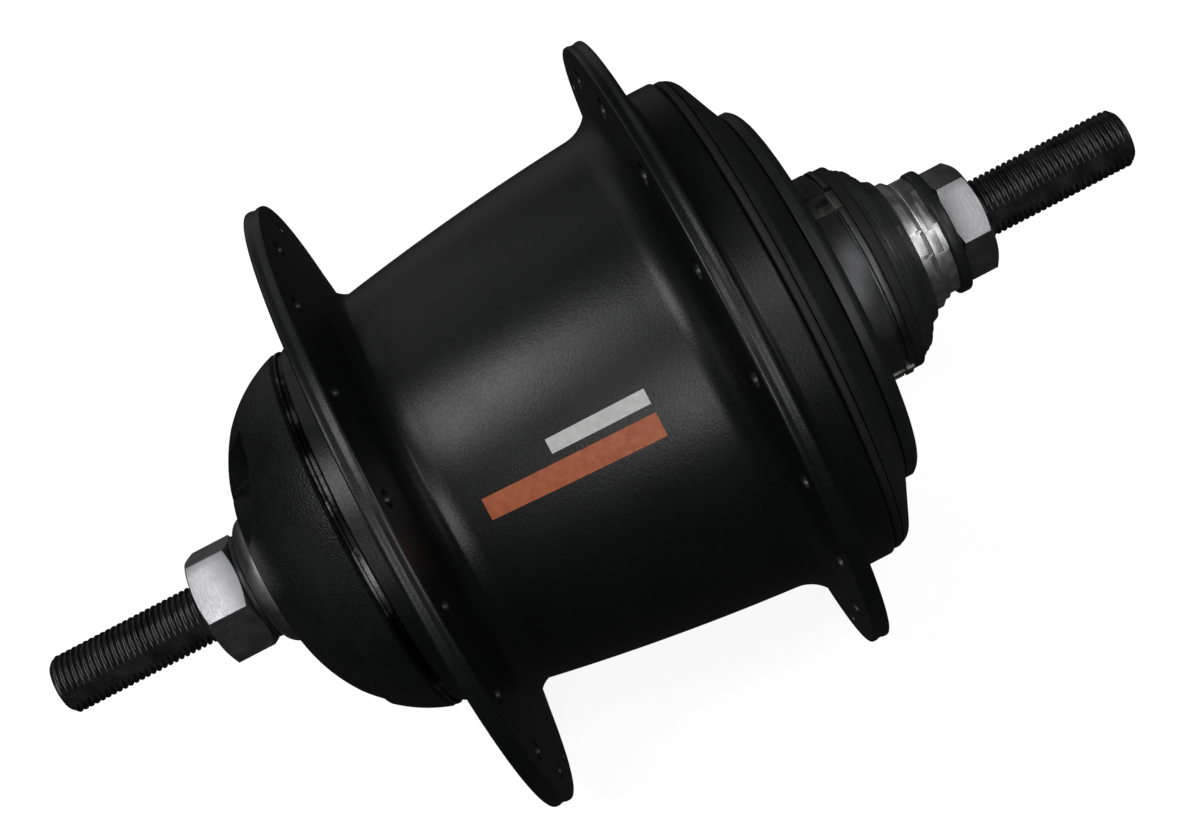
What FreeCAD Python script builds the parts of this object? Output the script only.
import FreeCAD, Part
import math
import os
import re

import Sketcher

# Bicycle hub gear: an internal-gear rear hub with two planetary stages.
# y runs along the axle. Plus y is the non-drive (left) side, minus y the drive side.
# The origin is on the axle line, midway between the two dropout faces.
# An outline is a list of (radius, y) corners turned about the axle.

DOCUMENT = FreeCAD.newDocument("hub_gear")
SHEET = DOCUMENT.addObject("Spreadsheet::Sheet", "Sizes")

SIZES = {
    # axle and the parts clamped on it
    "axle_half_length": 92.0,
    "axle_radius": 4.75,
    "axle_flat_half": 4.0,
    "axle_end_chamfer": 0.9,
    "axle_collar_radius": 6.6,
    "axle_collar_low": 8.6,
    "axle_collar_high": 11.5,
    "fin_radius": 5.65,
    "fin_half": 0.8,
    "fin_low": -47.0,
    "fin_high": -42.0,
    "thread_gap": 0.03,
    "fit_gap": 0.05,
    "running_gap": 0.08,
    "dropout_face": 66.0,
    "left_nut_inner": 58.5,
    "left_nut_across": 16.8,
    "left_washer_inner": 57.6,
    "left_washer_radius": 8.6,
    "right_nut_inner": -60.5,
    "right_nut_across": 16.0,
    "right_washer_inner": -58.6,
    "right_washer_radius": 10.2,
    "nut_face_share": 0.99,
    "nut_bevel": 0.9,
    "spacer_radius": 7.2,
    "cut_margin": 1.0,
    # left cone, measured from its balls inwards and from its washer
    "left_cone_radius": 10.1,
    "left_cone_head_radius": 12.9,
    "left_cone_neck_radius": 9.4,
    "left_cone_rim_radius": 10.8,
    "left_cone_face_radius": 8.7,
    "left_cone_depth": 2.4,
    "left_cone_ramp": 2.8,
    "left_cone_head": 1.6,
    "left_cone_step": 2.1,
    "left_cone_rim_depth": 4.6,
    "left_cone_round": 2.9,
    "cone_seal_radius": 11.1,
    "cone_seal_width": 0.75,
    # right cone
    "right_cone_end": -55.8,
    "right_cone_face_radius": 10.1,
    "right_cone_edge": 0.6,
    "right_cone_rim_width": 2.6,
    "right_cone_neck_radius": 9.6,
    "right_cone_head_radius": 11.9,
    "right_cone_head": 1.5,
    "right_cone_race_radius": 9.0,
    # hub shell
    "flange_radius": 50.75,
    "flange_half": 1.35,
    "left_flange": 30.9,
    "right_flange": -22.5,
    "spoke_circle_radius": 46.3,
    "left_spoke_hole_radius": 1.3,
    "right_spoke_hole_radius": 1.5,
    "spoke_count": 18,
    "left_spoke_angle": 5.5,
    "right_spoke_angle": 15.0,
    "collar_radius": 30.3,
    "collar_end": 37.4,
    "waist_radius": 33.1,
    "waist_left": 24.6,
    "belly_radius": 38.3,
    "belly_right": -15.2,
    "flange_root_half": 2.4,
    "drum_radius": 40.3,
    "drum_end": -30.5,
    "drum_edge": 0.6,
    "drum_fillet": 1.6,
    "belly_fillet": 5.5,
    "barrel_curve": 400.0,
    "waist_fillet": 3.2,
    "collar_fillet": 1.2,
    "cup_thread_radius": 37.0,
    "cup_thread_depth": -24.4,
    "ring_room_radius": 35.0,
    "ring_room_end": -12.0,
    "mid_room_radius": 31.4,
    "clutch_track_radius": 30.0,
    "clutch_track_start": 10.0,
    "left_wall_face": 27.0,
    "boss_radius": 20.0,
    "boss_end": 45.4,
    "boss_bore_radius": 14.6,
    "left_cup_radius": 18.0,
    "left_cup_seat": 37.5,
    "left_cup_inner_radius": 12.2,
    "left_cup_lip_radius": 15.7,
    # left dust cap
    "cap_mouth_radius": 11.35,
    "cap_top": 54.8,
    "cap_shoulder_radius": 23.6,
    "cap_shoulder": 49.5,
    "cap_skirt_radius": 30.2,
    "cap_skirt": 38.9,
    "cap_mouth_edge": 0.5,
    "cap_crown_curve": 25.8,
    "cap_side_curve": 22.7,
    "cap_inner_curve": 22.0,
    "cap_ring_width": 4.0,
    "cap_wall": 2.0,
    "cap_floor": 46.3,
    "cap_floor_radius": 21.8,
    "cap_pocket_floor": 48.8,
    "cap_pocket_inner": 15.6,
    "cap_pocket_outer": 27.0,
    "cap_pocket_angle": 104.0,
    "cap_pocket_half": 21.0,
    "cap_pocket_count": 3,
    # ball bearings: pitch radius, place and ball count
    "ball_radius": 2.38,
    "left_ball_circle": 13.0,
    "left_ball_place": 42.5,
    "left_ball_count": 14,
    "right_ball_circle": 27.6,
    "right_ball_place": -33.2,
    "right_ball_count": 28,
    "driver_ball_circle": 11.6,
    "driver_ball_place": -44.4,
    "driver_ball_count": 13,
    # right side of the shell and the driver
    "seal_ring_radius": 39.9,
    "cup_face_gap": 1.7,
    "cup_face_radius": 38.3,
    "cup_face_bevel": 3.2,
    "cup_edge_round": 2.6,
    "cup_race_radius": 26.6,
    "cup_nose_radius": 31.4,
    "cup_nose": -37.0,
    "cup_bore_radius": 30.2,
    "dust_cap_radius": 31.2,
    "dust_cap_low": -40.3,
    "dust_cap_high": -37.3,
    "dust_cap_flat": 4.5,
    "dust_cap_bevel": 2.2,
    "dust_cap_round": 2.6,
    "driver_seat_radius": 17.3,
    "dust_cap_seat_step": 0.3,
    "driver_end": -46.6,
    "driver_edge": 0.4,
    "driver_bore_radius": 14.4,
    "driver_slot_width": 5.6,
    "driver_slot_depth": 1.7,
    "driver_slot_angle": 104.0,
    "driver_slot_count": 3,
    "snap_groove": -45.3,
    "snap_groove_half": 0.45,
    "snap_groove_depth": 0.9,
    "driver_inner_radius": 13.4,
    "driver_lip_radius": 10.2,
    "driver_web_radius": 27.5,
    "driver_race_radius": 24.8,
    "driver_recess_radius": 31.8,
    "driver_cap_end": -53.5,
    "driver_cap_mouth": 11.2,
    "driver_cap_radius": 16.5,
    "driver_cap_skirt_wall": 0.25,
    "ring_gear_wall": 34.3,
    # gears
    "tooth_module": 0.75,
    "first_sun_teeth": 42,
    "second_sun_teeth": 21,
    "third_sun_teeth": 30,
    "fourth_sun_teeth": 33,
    "small_step_teeth": 15,
    "middle_step_teeth": 18,
    "large_step_teeth": 27,
    "first_ring_teeth": 84,
    "second_ring_teeth": 66,
    "tooth_backlash": 0.13,
    "pressure_angle": 20.0,
    "sun_bore": 5.62,
    "first_sun_low": -18.7,
    "first_sun_high": -13.4,
    "second_sun_low": -8.7,
    "second_sun_high": -3.6,
    "fourth_sun_low": -2.9,
    "fourth_sun_high": 2.0,
    "third_sun_low": 2.7,
    "third_sun_high": 7.7,
    "first_sun_room": 17.4,
    "second_sun_room": 13.9,
    "first_ring_low": -26.6,
    "first_ring_high": -13.6,
    "second_ring_low": 2.7,
    "second_ring_high": 7.8,
    "second_ring_wall": 28.6,
    "first_planet_circle": 21.375,
    "second_planet_circle": 18.0,
    "sleeve_inner": 4.85,
    "sleeve_outer": 5.5,
    "finger_angle": 20.0,
    "shift_ring_radius": 9.9,
    "shift_ring_flat": 9.1,
    "pawl_half": 1.5,
    "pawl_floor": 3.3,
    "pawl_heel": 2.5,
    "pawl_toe": 2.6,
    "pawl_reach": 5.7,
    "notch_radius": 6.35,
    "notch_angle": 69.0,
    "notch_half": 10.0,
    "pin_radius": 2.5,
    "pin_hole_radius": 2.4,
    "planet_count": 3,
    "planet_room": 11.4,
    # planet carrier
    "carrier_right": -27.6,
    "carrier_middle": -9.4,
    "carrier_left": 8.4,
    "carrier_radius": 29.4,
    "carrier_bore": 12.0,
    "second_cage_radius": 23.3,
    "second_cage_step": 1.9,
    "cheek_width": 1.5,
    # roller clutch
    "clutch_low": 13.0,
    "clutch_high": 24.0,
    "cam_radius": 24.9,
    "roller_radius": 2.5,
    "roller_count": 8,
    "roller_circle": 27.45,
    "cam_wall": 5.0,
    "cam_crest": 0.5,
    "roller_cage_inner": 25.95,
    "roller_cage_outer": 29.35,
    "cage_end_gap": 0.6,
    "cage_bar": 1.0,
}

# Each sun gear is locked to the axle by its own pawl. In fourth gear, shown here, pawls 1 and 4 are up.
PAWL_PLACES = {
    1: "(first_sun_low + first_sun_high) / 2",
    2: "(second_sun_low + second_sun_high) / 2",
    3: "(third_sun_low + third_sun_high) / 2",
    4: "(fourth_sun_low + fourth_sun_high) / 2",
}
RAISED_PAWLS = (1, 4)
NOTCH_COUNT = 6
PLANET_ANGLE = 90
LEFT_NUT_ANGLE = 158.5
RIGHT_NUT_ANGLE = 170.0

# The driver's cap narrows in small steps: (radius, distance beyond the driver's end).
DRIVER_CAP_STEPS = [(16.5, 2.3), (16.0, 2.9), (15.6, 3.6), (15.1, 4.3), (14.3, 4.6), (13.9, 5.1),
                    (13.0, 5.4), (12.6, 5.9)]


def fill_sheet():
    for row, (alias, value) in enumerate(SIZES.items(), start=1):
        cell = "B%d" % row
        SHEET.set("A%d" % row, alias)
        SHEET.set(cell, str(value))
        SHEET.setAlias(cell, alias)
    DOCUMENT.recompute()


def bound(text):
    """The text as an expression that reads the sheet."""
    return re.sub(r"[a-z_]+", lambda word: "Sizes." + word.group() if word.group() in SIZES
                  else word.group(), str(text))


def number(text):
    """What an expression on the sheet is worth now."""
    return float(SHEET.evalExpression(bound(text)))


# ---------------------------------------------------------------- sketches and features

def new_body(name):
    body = DOCUMENT.addObject("PartDesign::Body", name)
    body.Label = name
    return body


def new_sketch(body, name, plane="XY_Plane", lift=None):
    """An empty sketch on one of the body's own origin planes, lifted along the plane's normal."""
    sketch = body.newObject("Sketcher::SketchObject", body.Label + "_" + name)
    support = [item for item in body.Origin.OriginFeatures if item.Role == plane][0]
    sketch.AttachmentSupport = (support, [""])
    sketch.MapMode = "FlatFace"
    if lift is not None:
        sketch.setExpression("AttachmentOffset.Base.z", bound(lift))
    return sketch


def arc_centre(start, end, radius):
    """The centre of the short arc from start to end; a plus radius turns anticlockwise."""
    chord = end - start
    rise = math.sqrt(max(radius * radius - chord.Length ** 2 / 4, 0.0))
    normal = FreeCAD.Vector(-chord.y, chord.x, 0).normalize()
    return (start + end) * 0.5 + normal * math.copysign(rise, radius)


def draw_edge(sketch, start, end, radius):
    if radius is None:
        sketch.addGeometry(Part.LineSegment(start, end), False)
        return
    circle = Part.Circle(arc_centre(start, end, radius), FreeCAD.Vector(0, 0, 1), abs(radius))
    first, last = (start, end) if radius > 0 else (end, start)
    arc = Part.ArcOfCircle(circle, circle.parameter(first), circle.parameter(last))
    sketch.addGeometry(arc, False)


def tie(sketch, kind, places, text):
    """A dimension of the sketch, bound to an expression on the sheet."""
    index = sketch.addConstraint(Sketcher.Constraint(kind, *places, number(text)))
    sketch.setExpression("Constraints[%d]" % index, bound(text))


def draw_outline(sketch, corners):
    """A closed outline. A corner is (x, y), or (x, y, radius) when an arc leads to it."""
    points = [FreeCAD.Vector(number(corner[0]), number(corner[1]), 0) for corner in corners]
    radii = [number(corner[2]) if len(corner) == 3 else None for corner in corners]
    starts = [2 if radius is not None and radius < 0 else 1 for radius in radii]
    base = sketch.GeometryCount
    count = len(points)
    for index in range(count):
        draw_edge(sketch, points[index - 1], points[index], radii[index])
    for index in range(count):
        following = (index + 1) % count
        sketch.addConstraint(Sketcher.Constraint("Coincident", base + index, 3 - starts[index],
                                                 base + following, starts[following]))
        end = (-1, 1, base + index, 3 - starts[index])
        tie(sketch, "DistanceX", end, corners[index][0])
        tie(sketch, "DistanceY", end, corners[index][1])
        if radii[index] is not None:
            tie(sketch, "Radius", (base + index,), "abs(%s)" % corners[index][2])


def draw_circle(sketch, x, y, radius):
    where = FreeCAD.Vector(number(x), number(y), 0)
    base = sketch.addGeometry(Part.Circle(where, FreeCAD.Vector(0, 0, 1), number(radius)), False)
    tie(sketch, "DistanceX", (-1, 1, base, 3), x)
    tie(sketch, "DistanceY", (-1, 1, base, 3), y)
    tie(sketch, "Radius", (base,), radius)


def box_corners(x_low, x_high, y_low, y_high):
    return [(x_low, y_low), (x_high, y_low), (x_high, y_high), (x_low, y_high)]


def turn(body, corners, name="turned"):
    """Add the solid made by turning an outline about the axle."""
    sketch = new_sketch(body, name + "_outline")
    draw_outline(sketch, corners)
    feature = body.newObject("PartDesign::Revolution", name)
    feature.Profile = sketch
    feature.ReferenceAxis = (sketch, ["V_Axis"])
    feature.Angle = 360
    return feature


def turn_away(body, corners, name="turned_groove"):
    """Cut the ring made by turning an outline about the axle."""
    sketch = new_sketch(body, name + "_outline")
    draw_outline(sketch, corners)
    return groove(body, sketch, name)


def groove(body, sketch, name):
    feature = body.newObject("PartDesign::Groove", name)
    feature.Profile = sketch
    feature.ReferenceAxis = (sketch, ["V_Axis"])
    feature.Angle = 360
    return feature


def ball_track(body, circle, place):
    """Cut the round track that a row of balls runs in."""
    sketch = new_sketch(body, "ball_track_outline")
    draw_circle(sketch, circle, place, "ball_radius + running_gap")
    return groove(body, sketch, "ball_track")


def repeat(body, feature, count):
    """Repeat a feature evenly round the axle."""
    axis = [item for item in body.Origin.OriginFeatures if item.Role == "Y_Axis"][0]
    pattern = body.newObject("PartDesign::PolarPattern", feature.Name + "_pattern")
    pattern.Originals = [feature]
    pattern.Axis = (axis, [""])
    pattern.Angle = 360
    pattern.setExpression("Occurrences", bound(count))
    body.Tip = pattern
    return pattern


def cut_up(body, name, low, high, draw):
    """Cut a drawn shape out of the body between two places along the axle."""
    sketch = new_sketch(body, name + "_outline", "XZ_Plane", "-(%s)" % low)
    draw(sketch)
    feature = body.newObject("PartDesign::Pocket", name)
    feature.Profile = sketch
    feature.setExpression("Length", bound("(%s) - (%s)" % (high, low)))
    return feature


def pad_down(body, name, low, high, draw):
    """Add a drawn shape between two places along the axle."""
    sketch = new_sketch(body, name + "_outline", "XZ_Plane", "-(%s)" % high)
    draw(sketch)
    feature = body.newObject("PartDesign::Pad", name)
    feature.Profile = sketch
    feature.setExpression("Length", bound("(%s) - (%s)" % (high, low)))
    return feature


def ring(name, inner, outer, low, high):
    """A plain ring or tube round the axle."""
    body = new_body(name)
    turn(body, [(inner, low), (outer, low), (outer, high), (inner, high)])
    return body


def keep_shape(name, shape):
    """A sub-part whose shape no feature covers, such as a toothed gear or a set of balls."""
    feature = DOCUMENT.addObject("Part::Feature", name)
    feature.Label = name
    feature.Shape = shape
    return feature


# ---------------------------------------------------------------- axle and clamped parts

def axle():
    body = new_body("axle")
    tip = "axle_radius - axle_end_chamfer"
    end = "axle_half_length"
    turn(body, [(0, "-" + end), (tip, "-" + end),
                ("axle_radius", "axle_end_chamfer - axle_half_length"),
                ("axle_radius", "axle_collar_low"), ("axle_collar_radius", "axle_collar_low"),
                ("axle_collar_radius", "axle_collar_high"), ("axle_radius", "axle_collar_high"),
                ("axle_radius", "axle_half_length - axle_end_chamfer"), (tip, end), (0, end)])
    sketch = new_sketch(body, "flat_outlines")
    for side in ("", "-"):
        near, far = side + "axle_flat_half", side + "axle_radius * 1.2"
        draw_outline(sketch, box_corners(near, far, "left_washer_inner", "axle_half_length + 1"))
        draw_outline(sketch, box_corners(near, far, "-axle_half_length - 1", "right_washer_inner"))
    flats = body.newObject("PartDesign::Pocket", "flats")
    flats.Profile = sketch
    flats.SideType = "Symmetric"
    flats.setExpression("Length", bound("axle_radius * 3"))
    pad_down(body, "fins", "fin_low", "fin_high", lambda sketch: draw_outline(
        sketch, box_corners("-fin_half", "fin_half", "-fin_radius", "fin_radius")))
    for number_of_pawl, middle in PAWL_PLACES.items():
        raised = number_of_pawl in RAISED_PAWLS
        cut_up(body, "pawl_slot_%d" % number_of_pawl, middle + " - pawl_half - fit_gap",
               middle + " + pawl_half + fit_gap", lambda sketch: draw_pawl_slot(sketch, raised))
    return body


def pawl_corners(raised):
    """The lever that locks a sun gear: a heel in the axle's slot and a toe that can rise."""
    if raised:
        return [("-pawl_heel", "pawl_floor"), ("pawl_toe * 0.5", "pawl_floor"),
                ("pawl_toe", "pawl_reach - 1.1"), ("pawl_toe - 0.5", "pawl_reach"),
                ("-pawl_heel", "pawl_floor + 1.0")]
    return [("-pawl_heel", "-pawl_floor - 0.7"), ("-pawl_heel", "-pawl_floor"),
            ("pawl_toe * 0.8", "-pawl_floor"), ("pawl_toe * 0.8", "-pawl_floor - 0.7")]


def draw_pawl_slot(sketch, raised):
    side = "" if raised else "-"
    near, far = "%s(pawl_floor - fit_gap)" % side, "%s(axle_radius + 1)" % side
    draw_outline(sketch, box_corners("-pawl_heel - fit_gap", "pawl_toe + 0.1", near, far))


def pawl(index):
    body = new_body("pawl_%d" % index)
    middle = PAWL_PLACES[index]
    pad_down(body, "lever", middle + " - pawl_half", middle + " + pawl_half",
             lambda sketch: draw_outline(sketch, pawl_corners(index in RAISED_PAWLS)))
    return body


def draw_hexagon(sketch, across, first_angle):
    corner = "%s / sqrt(3)" % across
    angles = ["%s + %d" % (first_angle, 60 * step) for step in range(6)]
    draw_outline(sketch, [("%s * cos(%s)" % (corner, angle), "%s * sin(%s)" % (corner, angle))
                          for angle in angles])


def hex_nut(name, across, low, high, first_angle):
    """A hexagon nut with both ends turned to a shallow cone."""
    body = new_body(name)
    pad_down(body, "hexagon", low, high, lambda sketch: draw_hexagon(sketch, across, first_angle))
    bore = "axle_radius + thread_gap"
    turn_away(body, box_corners(0, bore, low + " - cut_margin", high + " + cut_margin"), "thread_bore")
    flat, beyond_corner = "%s / 2 * nut_face_share" % across, "%s * 0.62" % across
    for end, face, inward in (("low_bevel", low, " + nut_bevel"), ("high_bevel", high, " - nut_bevel")):
        turn_away(body, [(flat, face), (beyond_corner, face), (beyond_corner, face + inward)], end)
    return body


def left_cone():
    """The cone that the left balls run on, with a rounded rim outside the dust cap's mouth."""
    body = new_body("left_cone")
    bore = "axle_radius + thread_gap"
    place, face = "left_ball_place", "left_washer_inner - fit_gap"
    head = place + " + left_cone_ramp"
    neck = head + " + left_cone_head"
    rim = "left_washer_inner - left_cone_rim_depth"
    turn(body, [(bore, place + " - left_cone_depth"), ("left_cone_radius", place + " - left_cone_depth"),
                ("left_cone_radius", place), ("left_cone_head_radius", head),
                ("left_cone_head_radius", neck), ("left_cone_neck_radius", neck + " + left_cone_step"),
                ("left_cone_neck_radius", rim), ("left_cone_rim_radius", rim),
                ("left_cone_rim_radius", rim + " + 2"), ("left_cone_face_radius", face, "left_cone_round"),
                (bore, face)])
    ball_track(body, "left_ball_circle", place)
    return body


def right_cone():
    """The cone that the driver's small balls run on."""
    body = new_body("right_cone")
    bore = "sleeve_outer + fit_gap * 4"
    place, end = "driver_ball_place", "right_cone_end"
    rim = end + " + right_cone_rim_width"
    rim_radius = "right_cone_face_radius + right_cone_edge"
    head = place + " - left_cone_ramp - fit_gap * 2"
    back = place + " + left_cone_ramp"
    turn(body, [(bore, end), ("right_cone_face_radius", end), (rim_radius, end + " + right_cone_edge"),
                (rim_radius, rim), ("right_cone_neck_radius", rim),
                ("right_cone_neck_radius", head + " - right_cone_head - 0.5"),
                ("right_cone_head_radius", head + " - right_cone_head"), ("right_cone_head_radius", head),
                ("right_cone_race_radius", place), ("right_cone_race_radius", back), (bore, back)])
    ball_track(body, "driver_ball_circle", place)
    return body


def shift_ring():
    """The ring that the shifter turns: round, with a flat on each side."""
    body = new_body("shift_ring")
    low, high = "right_washer_inner + 0.1", "right_cone_end - 0.1"
    turn(body, [("sleeve_inner", low), ("shift_ring_radius", low), ("shift_ring_radius", high),
                ("sleeve_inner", high)])
    side = "(shift_ring_radius + 2)"
    flat = cut_up(body, "flat", low + " - cut_margin", high + " + cut_margin",
                  lambda sketch: draw_outline(sketch, box_corners("shift_ring_flat", side, "-" + side, side)))
    repeat(body, flat, 3)
    return body


# ---------------------------------------------------------------- hub shell and its covers

def flange_rim(place):
    """The rounded rim of a flange, from its drive side to its other side."""
    rim = "flange_radius - flange_half"
    return [(rim, place + " - flange_half"), ("flange_radius", place, "flange_half"),
            (rim, place + " + flange_half", "flange_half")]


def barrel_outline():
    """The outside of the shell, from the end of the drum to the end of the left collar."""
    drum, left, right = "drum_radius", "left_flange", "right_flange"
    outline = [(drum + " - drum_edge", "drum_end"), (drum, "drum_end + drum_edge"),
               (drum, right + " - 2 * drum_fillet"), (drum + " + 1.4", right + " - 2.3", "-drum_fillet")]
    outline += flange_rim(right)
    outline += [("belly_radius + 3.5", right + " + flange_root_half"),
                ("belly_radius + 0.3", "belly_right - 0.3", "-belly_fillet"),
                ("belly_radius", "belly_right"), ("waist_radius", "waist_left", "barrel_curve"),
                ("waist_radius + 2.2", "waist_left + 2.1", "-waist_fillet")]
    outline += flange_rim(left)
    outline += [("collar_radius + collar_fillet", left + " + 3.2"),
                ("collar_radius", left + " + 4.1", "-collar_fillet"), ("collar_radius", "collar_end")]
    return outline


def hub_shell():
    body = new_body("hub_shell")
    turn(body, barrel_outline() + [
        ("boss_radius + 1", "collar_end"), ("boss_radius", "collar_end + 1", -1),
        ("boss_radius", "boss_end"), ("left_cup_radius", "boss_end"),
        ("left_cup_radius", "left_cup_seat"), ("boss_bore_radius", "left_cup_seat"),
        ("boss_bore_radius", "left_wall_face"), ("clutch_track_radius - 2", "left_wall_face"),
        ("clutch_track_radius", "left_wall_face - 2.5"), ("clutch_track_radius", "clutch_track_start"),
        ("mid_room_radius", "clutch_track_start - 1.5"), ("mid_room_radius", "ring_room_end + 2"),
        ("ring_room_radius", "ring_room_end"), ("ring_room_radius", "cup_thread_depth"),
        ("cup_thread_radius", "cup_thread_depth"), ("cup_thread_radius", "drum_end")])
    for side in ("left", "right"):
        place, angle = side + "_flange", side + "_spoke_angle"
        hole_radius = side + "_spoke_hole_radius"
        holes = cut_up(body, side + "_spoke_hole", place + " - 4", place + " + 4",
                       lambda sketch: draw_circle(sketch, "spoke_circle_radius * cos(%s)" % angle,
                                                  "spoke_circle_radius * sin(%s)" % angle,
                                                  hole_radius))
        repeat(body, holes, "spoke_count")
    return body


def left_ball_cup():
    body = new_body("left_ball_cup")
    outer, place = "left_cup_radius - fit_gap", "left_ball_place"
    inner, lip, seat = "left_cup_inner_radius", "left_cup_lip_radius", "left_cup_seat + fit_gap"
    turn(body, [(inner, seat), (outer, seat), (outer, place + " + 2.6"), (lip, place + " + 2.6"),
                (lip, place), (inner, place + " - 3.2")])
    ball_track(body, "left_ball_circle", place)
    return body


def right_ball_cup():
    """The screwed-in cup that closes the drive side and carries the large row of balls."""
    body = new_body("right_ball_cup")
    place, thread = "right_ball_place", "cup_thread_radius - fit_gap"
    face, depth = "drum_end - cup_face_gap", "cup_thread_depth - 0.1"
    turned_end, shoulder = "ring_room_radius + 0.2", place + " + 3.3"
    turn(body, [("cup_bore_radius", "cup_nose"), ("cup_nose_radius", "cup_nose"),
                ("cup_face_radius", "cup_nose + cup_face_bevel"),
                ("seal_ring_radius - 0.2", face, "cup_edge_round"), (thread, face), (thread, depth),
                (turned_end, depth), (turned_end, shoulder), ("cup_race_radius", shoulder),
                ("cup_race_radius", shoulder + " - 0.3"), ("cup_bore_radius", place)])
    ball_track(body, "right_ball_circle", place)
    return body


def left_dust_cap():
    """The domed cover of the non-drive end, with scooped pockets round its crown."""
    body = new_body("left_dust_cap")
    mouth, edge = "cap_mouth_radius", "cap_mouth_edge"
    turn(body, [(mouth, "cap_top - 2.1"), (mouth, "cap_top - " + edge), (mouth + " + " + edge, "cap_top"),
                ("cap_shoulder_radius", "cap_shoulder", "-cap_crown_curve"),
                ("cap_skirt_radius", "cap_skirt", "-cap_side_curve"),
                ("cap_skirt_radius - cap_wall", "cap_skirt"),
                ("cap_floor_radius", "cap_floor", "cap_inner_curve"), ("boss_bore_radius", "cap_floor"),
                ("boss_bore_radius", "cap_top - 2.6")])
    pocket = cut_up(body, "scoop", "cap_pocket_floor", "cap_top + cut_margin", draw_cap_pocket)
    repeat(body, pocket, "cap_pocket_count")
    return body


def draw_cap_pocket(sketch):
    """A sector between two radii, about the pocket's own direction."""
    corners = []
    for radius, side in (("cap_pocket_inner", "-"), ("cap_pocket_outer", "-"),
                         ("cap_pocket_outer", "+"), ("cap_pocket_inner", "+")):
        angle = "cap_pocket_angle %s cap_pocket_half" % side
        corners.append(["%s * cos(%s)" % (radius, angle), "%s * sin(%s)" % (radius, angle)])
    corners[2].append("cap_pocket_outer")
    corners[0].append("-cap_pocket_inner")
    draw_outline(sketch, corners)


# ---------------------------------------------------------------- driver

def driver():
    """The cup that the sprocket turns: seat and groove outside, two rows of balls inside."""
    body = new_body("driver")
    seat, end = "driver_seat_radius", "driver_end"
    race, small = "right_ball_place", "driver_ball_place"
    groove_floor, groove_low = seat + " - snap_groove_depth", "snap_groove - snap_groove_half"
    groove_high = "snap_groove + snap_groove_half"
    step, web, wall = seat + " - dust_cap_seat_step", "dust_cap_high + 0.1", race + " + 3.7"
    recess_low, recess_high = "first_ring_low - fit_gap", "carrier_right - 0.5"
    turn(body, [
        ("driver_bore_radius", end), (seat + " - driver_edge", end), (seat, end + " + driver_edge"),
        (seat, groove_low), (groove_floor, groove_low), (groove_floor, groove_high), (seat, groove_high),
        (seat, "dust_cap_low"), (step, "dust_cap_low"), (step, web), ("driver_web_radius", web),
        ("driver_web_radius", race + " - 2.9"), ("driver_race_radius", race),
        ("driver_race_radius", wall), ("ring_gear_wall", wall), ("ring_gear_wall", recess_low),
        ("driver_recess_radius", recess_low), ("driver_recess_radius", recess_high),
        ("driver_inner_radius", recess_high), ("driver_inner_radius", small + " + 4.6"),
        ("driver_lip_radius", small + " + 4.6"), ("driver_lip_radius", small + " + 3.2"),
        ("driver_bore_radius", small)])
    ball_track(body, "right_ball_circle", race)
    ball_track(body, "driver_ball_circle", small)
    slot = cut_up(body, "sprocket_slot", end + " - cut_margin", "dust_cap_low", draw_driver_slot)
    repeat(body, slot, "driver_slot_count")
    return body


def draw_driver_slot(sketch):
    """A block across the seat, turned to the slot's angle."""
    angle, half = "driver_slot_angle", "driver_slot_width / 2"
    floor, beyond = "driver_seat_radius - driver_slot_depth", "driver_seat_radius + 2"
    corners = []
    for along, side in ((floor, "-"), (beyond, "-"), (beyond, ""), (floor, "")):
        corners.append(("(%s) * cos(%s) - (%s%s) * sin(%s)" % (along, angle, side, half, angle),
                        "(%s) * sin(%s) + (%s%s) * cos(%s)" % (along, angle, side, half, angle)))
    draw_outline(sketch, corners)


def driver_dust_cap():
    body = new_body("driver_dust_cap")
    outer, low = "dust_cap_radius", "dust_cap_low"
    bore = "driver_seat_radius - dust_cap_seat_step + fit_gap"
    turn(body, [(bore, low), (outer + " - dust_cap_flat", low),
                (outer + " - dust_cap_bevel", low + " + 0.3"), (outer, low + " + 1.5", "dust_cap_round"),
                (outer, "dust_cap_high"), (bore, "dust_cap_high")])
    return body


def driver_cap():
    """The stepped cover of the driver's mouth."""
    body = new_body("driver_cap")
    outer, mouth, lip = "driver_cap_radius", "driver_cap_mouth", "driver_cap_end"
    top, skirt, skirt_end = "driver_end - 1.9", "driver_bore_radius - fit_gap", "driver_end + 1"
    inner = skirt + " - driver_cap_skirt_wall"
    steps = [(radius, "driver_end - %g" % beyond) for radius, beyond in reversed(DRIVER_CAP_STEPS)]
    turn(body, [(mouth, lip + " + 1.2"), (mouth, lip), (mouth + " + 0.6", lip)] + steps
         + [(outer, top), (skirt, top), (skirt, skirt_end), (inner, skirt_end),
            (inner, "driver_end - 2.6"), ("driver_cap_mouth + 1.7", "driver_end - 4")])
    return body


# ---------------------------------------------------------------- gears

def flank_half_angle(radius, pitch, play):
    """Half the angle that an involute tooth of 20 degree pressure angle spans at a radius."""
    pressure = math.radians(number("pressure_angle"))
    base = pitch * math.cos(pressure)
    here = math.acos(min(1.0, base / max(radius, base)))
    grown = (math.tan(pressure) - pressure) - (math.tan(here) - here)
    return number("tooth_module") * math.pi / 4 / pitch + play / 2 / pitch + grown


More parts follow.
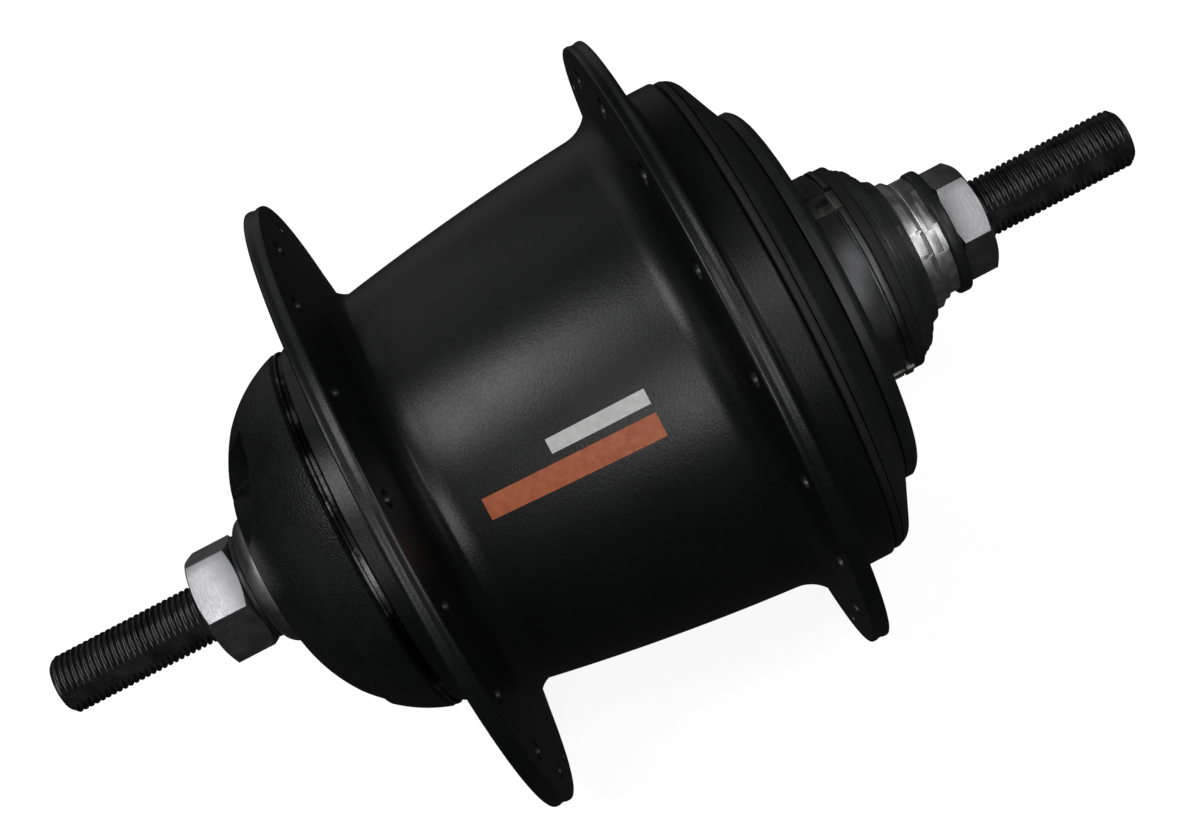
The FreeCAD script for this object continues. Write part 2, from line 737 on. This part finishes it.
def toothed_face(teeth, phase, inner=False):
    """The flat outline of a gear; for an inner gear, of the toothed hole. A tooth points at phase."""
    module = number("tooth_module")
    pitch = teeth * module / 2
    low, high = pitch - 1.2 * module, pitch + 0.9 * module
    play = -number("tooth_backlash")
    if inner:
        low, high = pitch - 0.9 * module, pitch + 1.2 * module
        play = number("tooth_backlash")
    radii = [low, pitch - 0.45 * module, pitch + 0.25 * module, high]
    halves = [flank_half_angle(radius, pitch, play) for radius in radii]
    flank = list(zip(radii, halves))
    corners = []
    for tooth in range(teeth):
        centre = math.radians(phase) + 2 * math.pi * tooth / teeth
        sides = [(radius, centre - half) for radius, half in flank]
        sides += [(radius, centre + half) for radius, half in flank[::-1]]
        corners += [FreeCAD.Vector(radius * math.cos(angle), 0, radius * math.sin(angle))
                    for radius, angle in sides]
    return Part.Face(Part.makePolygon(corners + corners[:1]))


def rod(radius, low, high, x=0.0, z=0.0, first=0.0, angle=360.0):
    """A cylinder, or a sector of one, along the axle."""
    solid = Part.makeCylinder(radius, high - low, FreeCAD.Vector(0, low, 0), FreeCAD.Vector(0, 1, 0), angle)
    solid.rotate(FreeCAD.Vector(0, 0, 0), FreeCAD.Vector(0, 1, 0), 90 - first - angle)
    solid.translate(FreeCAD.Vector(x, 0, z))
    return solid


def toothed_prism(teeth, low, high, phase, inner=False):
    face = toothed_face(teeth, phase, inner)
    face.translate(FreeCAD.Vector(0, low, 0))
    return face.extrude(FreeCAD.Vector(0, high - low, 0))


def sun_gear(index, teeth_name, low, high, tooth_faces_planet):
    """A sun gear that rides on the sleeve, with notches in its bore for a pawl."""
    teeth = int(number(teeth_name))
    low, high = number(low), number(high)
    phase = PLANET_ANGLE + (0 if tooth_faces_planet else 180.0 / teeth)
    shape = toothed_prism(teeth, low, high, phase)
    shape = shape.cut(rod(number("sun_bore"), low - 1, high + 1))
    for step in range(NOTCH_COUNT):
        first = number("notch_angle - notch_half") + 360.0 * step / NOTCH_COUNT
        notch = rod(number("notch_radius"), low - 1, high + 1, 0, 0, first, number("notch_half * 2"))
        shape = shape.cut(notch)
    return keep_shape("sun_gear_%d" % index, shape)


def planet(name, order, steps, circle):
    """A stepped planet on its pin. A tooth of every step points away from the axle."""
    angle = PLANET_ANGLE + 360.0 * order / number("planet_count")
    shape = None
    for teeth_name, low, high in steps:
        step = toothed_prism(int(number(teeth_name)), number(low), number(high), angle)
        shape = step if shape is None else shape.fuse(step)
    low, high = number(steps[0][1]), number(steps[-1][2])
    shape = shape.cut(rod(number("pin_radius"), low - 1, high + 1))
    x = number(circle) * math.cos(math.radians(angle))
    z = number(circle) * math.sin(math.radians(angle))
    shape.translate(FreeCAD.Vector(x, 0, z))
    return keep_shape("%s_%d" % (name, order + 1), shape)


def ring_gear_1():
    """The large ring gear that the driver turns."""
    low, high = number("first_ring_low"), number("first_ring_high")
    shape = rod(number("ring_gear_wall"), low, high)
    shape = shape.cut(toothed_prism(int(number("first_ring_teeth")), low - 1, high + 1, PLANET_ANGLE, True))
    return keep_shape("ring_gear_1", shape)


def ring_gear_2():
    """The ring gear of the second stage: its drum and web carry the clutch cam."""
    low, high = number("second_ring_low"), number("second_ring_high")
    web_low, web_high = number("clutch_low - 2.4"), number("clutch_low - fit_gap")
    wall = number("second_ring_wall")
    shape = rod(wall, low, web_high)
    shape = shape.cut(toothed_prism(int(number("second_ring_teeth")), low - 1, high, PLANET_ANGLE, True))
    shape = shape.cut(rod(number("cam_radius + 0.5"), high - 0.01, web_low))
    shape = shape.cut(rod(number("axle_collar_radius + 2"), low - 1, web_high + 1))
    return keep_shape("ring_gear_2", shape)


# ---------------------------------------------------------------- planet carrier and clutch

def carrier(name, low, high, room_low, room_high, sun_room, outlines):
    """A cage that holds the planets: a turned block with a room scooped out for each planet."""
    body = new_body(name)
    circle, outer = outlines
    turn(body, outer)
    turn_away(body, box_corners(0, "carrier_bore", low + " - 1", high + " + 1"), "bore")
    turn_away(body, box_corners(0, sun_room, room_low, room_high), "sun_room")
    angle = "%d" % PLANET_ANGLE
    centre = ("%s * cos(%s)" % (circle, angle), "%s * sin(%s)" % (circle, angle))
    room = cut_up(body, "planet_room", room_low, room_high,
                  lambda sketch: draw_circle(sketch, centre[0], centre[1], "planet_room"))
    repeat(body, room, "planet_count")
    hole = cut_up(body, "pin_hole", low + " - 1", high + " + 1", lambda sketch: draw_circle(
        sketch, centre[0], centre[1], "pin_hole_radius"))
    repeat(body, hole, "planet_count")
    return body


def carrier_right():
    radius = "carrier_radius"
    low, high = "carrier_right", "carrier_middle"
    return carrier("carrier_right", low, high, "carrier_right + cheek_width", "carrier_middle - 2.8",
                   "first_sun_room", ("first_planet_circle", box_corners(0, radius, low, high)))


def carrier_left():
    low, high = "carrier_middle", "carrier_left + cheek_width + 0.1"
    step, wide = "second_ring_low - 0.5", "carrier_radius - second_cage_step"
    outline = [(0, low), (wide, low), (wide, step),
               ("second_cage_radius", step), ("second_cage_radius", high), (0, high)]
    return carrier("carrier_left", low, high, low + " + 0.3", "carrier_left",
                   "second_sun_room", ("second_planet_circle", outline))


def planet_pins(name, low, high, circle):
    pins = []
    for order in range(int(number("planet_count"))):
        angle = math.radians(PLANET_ANGLE + 360.0 * order / number("planet_count"))
        x, z = number(circle) * math.cos(angle), number(circle) * math.sin(angle)
        pins.append(rod(number("pin_radius - running_gap * 2"), number(low), number(high), x, z))
    return keep_shape(name, Part.makeCompound(pins))


def clutch_cam():
    """A ring with a flat ramp under each roller."""
    body = ring("clutch_cam", "cam_radius - cam_wall", "cam_radius + cam_crest", "clutch_low",
                "clutch_high")
    ramp = cut_up(body, "ramp", "clutch_low - cut_margin", "clutch_high + cut_margin",
                  lambda sketch: draw_outline(sketch, box_corners("cam_radius", "cam_radius + 3", -6, 6)))
    repeat(body, ramp, "roller_count")
    return body


def roller_cage():
    low, high = "clutch_low + cage_end_gap", "clutch_high - cage_end_gap"
    body = ring("roller_cage", "roller_cage_inner", "roller_cage_outer", low, high)
    window = cut_up(body, "roller_window", low + " + cage_bar", high + " - cage_bar",
                    lambda sketch: draw_circle(sketch, "roller_circle", 0, "roller_radius + running_gap"))
    repeat(body, window, "roller_count")
    return body


def clutch_rollers():
    rollers = []
    low, high = number("clutch_low + 1.7"), number("clutch_high - 1.7")
    for index in range(int(number("roller_count"))):
        angle = 2 * math.pi * index / number("roller_count")
        circle = number("roller_circle")
        x, z = circle * math.cos(angle), circle * math.sin(angle)
        rollers.append(rod(number("roller_radius"), low, high, x, z))
    return keep_shape("clutch_rollers", Part.makeCompound(rollers))


# ---------------------------------------------------------------- balls and shift sleeve

def ball_places(circle, place, count):
    for index in range(count):
        angle = 2 * math.pi * index / count
        yield FreeCAD.Vector(circle * math.cos(angle), place, circle * math.sin(angle))


def ball_row(side, mouth):
    """One row of balls and the cage that spaces them, on the side of the bearing's mouth."""
    circle, place = number(side + "_ball_circle"), number(side + "_ball_place")
    places = list(ball_places(circle, place, int(number(side + "_ball_count"))))
    radius = number("ball_radius")
    balls = keep_shape(side + "_balls", Part.makeCompound([Part.makeSphere(radius, at) for at in places]))
    low, high = sorted((place - 0.4 * mouth, place + 3.2 * mouth))
    cage = rod(circle + 2.2, low, high).cut(rod(circle + 0.8, low - 1, high + 1))
    for at in places:
        cage = cage.cut(Part.makeSphere(radius + 0.1, at))
    return balls, keep_shape(side + "_ball_cage", cage)


def shift_sleeve():
    """The tube round the axle that covers or frees the pawls, with two fingers out to its ring."""
    inner, outer = number("sleeve_inner"), number("sleeve_outer")
    low, high = number("fin_high + 0.4"), number("axle_collar_low - 0.3")
    tube = rod(outer, low, high)
    for index, middle in PAWL_PLACES.items():
        if index in RAISED_PAWLS:
            here = number(middle)
            reach = number("pawl_half + 0.3")
            tube = tube.cut(rod(outer + 1, here - reach, here + reach, 0, 0, -6, 192))
    width = number("finger_angle")
    for side in (0, 180):
        finger = rod(outer, number("right_cone_end - 0.09"), low + 0.5, 0, 0,
                     side - width / 2 - 10, width)
        tube = tube.fuse(finger)
    return keep_shape("shift_sleeve", tube.cut(rod(inner, number("right_cone_end - 1"), high + 1)))


def sleeve_spring():
    """The coil that turns the sleeve back: round wire turns side by side on the spacer."""
    low, high = number("carrier_right - 4.5"), number("carrier_right - 0.8")
    return ring("sleeve_spring", "spacer_radius + 0.3", "spacer_radius + 2.0", str(low), str(high))


# ---------------------------------------------------------------- assembly

def clamped_parts():
    """What the two locknuts clamp on the axle, besides the cones."""
    thread, spacer = "axle_radius + thread_gap", "spacer_radius"
    seal = "left_washer_inner - left_cone_rim_depth - fit_gap"
    return [
        hex_nut("left_locknut", "left_nut_across", "left_nut_inner", "dropout_face", LEFT_NUT_ANGLE),
        hex_nut("right_locknut", "right_nut_across", "-dropout_face", "right_nut_inner", RIGHT_NUT_ANGLE),
        ring("left_lock_washer", thread, "left_washer_radius", "left_washer_inner",
             "left_nut_inner - fit_gap"),
        ring("right_lock_washer", thread, "right_washer_radius", "right_nut_inner + fit_gap",
             "right_washer_inner"),
        ring("left_cone_seal", "left_cone_neck_radius + fit_gap", "cone_seal_radius",
             seal + " - cone_seal_width", seal),
        ring("left_spacer", thread, spacer, "axle_collar_high + fit_gap",
             "left_ball_place - left_cone_depth - fit_gap"),
        ring("middle_spacer", "sun_bore", spacer, "first_sun_high + 0.2", "second_sun_low - 0.2"),
        ring("right_spacer", "sun_bore", spacer, "driver_ball_place + 2.9", "first_sun_low - 0.2"),
        ring("thrust_washer", "sun_bore", spacer, "third_sun_high + 0.15", "axle_collar_low - 0.1"),
    ]


def planets():
    first_steps = [("large_step_teeth", "first_sun_low - 6.6", "first_sun_low - 0.4"),
                   ("small_step_teeth", "first_sun_low - 0.4", "first_sun_high")]
    second_steps = [("large_step_teeth", "second_sun_low", "second_sun_high + 0.4"),
                    ("small_step_teeth", "second_sun_high + 0.4", "fourth_sun_high + 0.4"),
                    ("middle_step_teeth", "fourth_sun_high + 0.4", "third_sun_high")]
    parts = []
    for order in range(int(number("planet_count"))):
        parts.append(planet("drive_planet", order, first_steps, "first_planet_circle"))
        parts.append(planet("output_planet", order, second_steps, "second_planet_circle"))
    return parts


def build_all():
    fill_sheet()
    parts = [axle(), left_cone(), right_cone(), shift_ring()]
    parts += [pawl(index) for index in PAWL_PLACES]
    parts += clamped_parts()
    parts += [hub_shell(), left_ball_cup(), right_ball_cup(), left_dust_cap()]
    parts.append(ring("cap_retaining_ring", "cap_skirt_radius - cap_ring_width",
                      "cap_skirt_radius + fit_gap", "collar_end + 0.12", "cap_skirt - 0.15"))
    parts.append(ring("right_cup_seal", "cup_thread_radius", "seal_ring_radius",
                      "drum_end - 1.55", "drum_end - 0.3"))

    parts += [driver(), driver_dust_cap(), driver_cap()]
    parts.append(ring("driver_seal_ring", "driver_bore_radius", "driver_seat_radius - 0.25",
                      "driver_end - 1.85", "driver_end - 0.05"))

    parts.append(sun_gear(1, "first_sun_teeth", "first_sun_low", "first_sun_high", True))
    parts.append(sun_gear(2, "second_sun_teeth", "second_sun_low", "second_sun_high", True))
    parts.append(sun_gear(4, "fourth_sun_teeth", "fourth_sun_low", "fourth_sun_high", True))
    parts.append(sun_gear(3, "third_sun_teeth", "third_sun_low", "third_sun_high", False))
    parts += planets()
    parts += [ring_gear_1(), ring_gear_2(), carrier_right(), carrier_left()]
    parts.append(planet_pins("drive_planet_pins", "carrier_right + 0.05", "carrier_middle - 0.05",
                             "first_planet_circle"))
    parts.append(planet_pins("output_planet_pins", "carrier_middle + 0.05", "carrier_left + 1.5",
                             "second_planet_circle"))
    parts += [clutch_cam(), roller_cage(), clutch_rollers()]
    for side, mouth in (("left", 1), ("right", -1), ("driver", -1)):
        parts += ball_row(side, mouth)
    parts += [shift_sleeve(), sleeve_spring()]
    return parts


def write_all(parts):
    DOCUMENT.recompute()
    failed = [item.Name for item in DOCUMENT.Objects
              if "Invalid" in item.State or "Error" in item.State]
    failed += [part.Label for part in parts if part.Shape.isNull() or not part.Shape.isValid()]
    if failed:
        raise RuntimeError("these did not build: " + ", ".join(failed))
    os.makedirs("parts", exist_ok=True)
    for part in parts:
        part.Shape.exportStep("parts/%s.step" % part.Label)


write_all(build_all())
